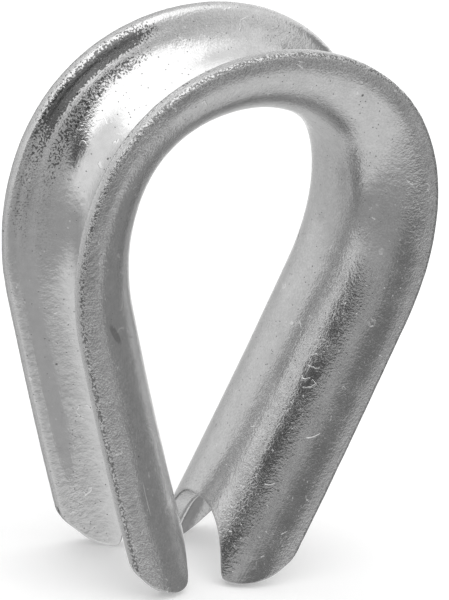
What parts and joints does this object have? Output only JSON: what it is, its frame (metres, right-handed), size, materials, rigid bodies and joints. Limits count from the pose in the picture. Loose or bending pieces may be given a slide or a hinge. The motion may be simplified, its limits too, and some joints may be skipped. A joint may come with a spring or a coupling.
{
  "type": "wire rope thimble",
  "caption": "Open pear-shaped thimble: a bent steel channel that guards the eye of a wire rope, with rounded flange lobes at its leg tips.",
  "frame": {"origin": "middle of the thimble's bounding box: on the plane midway between the flanges, on the plane midway between the legs, and half way from the crown's rims to the lobe tips", "axes": "+Z from the leg tips to the crown, in the plane of the eye; +Y across the flanges, along a pin in the eye; +X across the two legs"},
  "size_m": [0.0682, 0.0264, 0.0952],
  "materials": {
    "galvanised_steel": "bright zinc plating over pressed steel, satin gloss with fine pits, die marks and rough sheared edges"
  },
  "bodies": {
    "root": {"thimble": "galvanised_steel"}
  },
  "joints": []
}
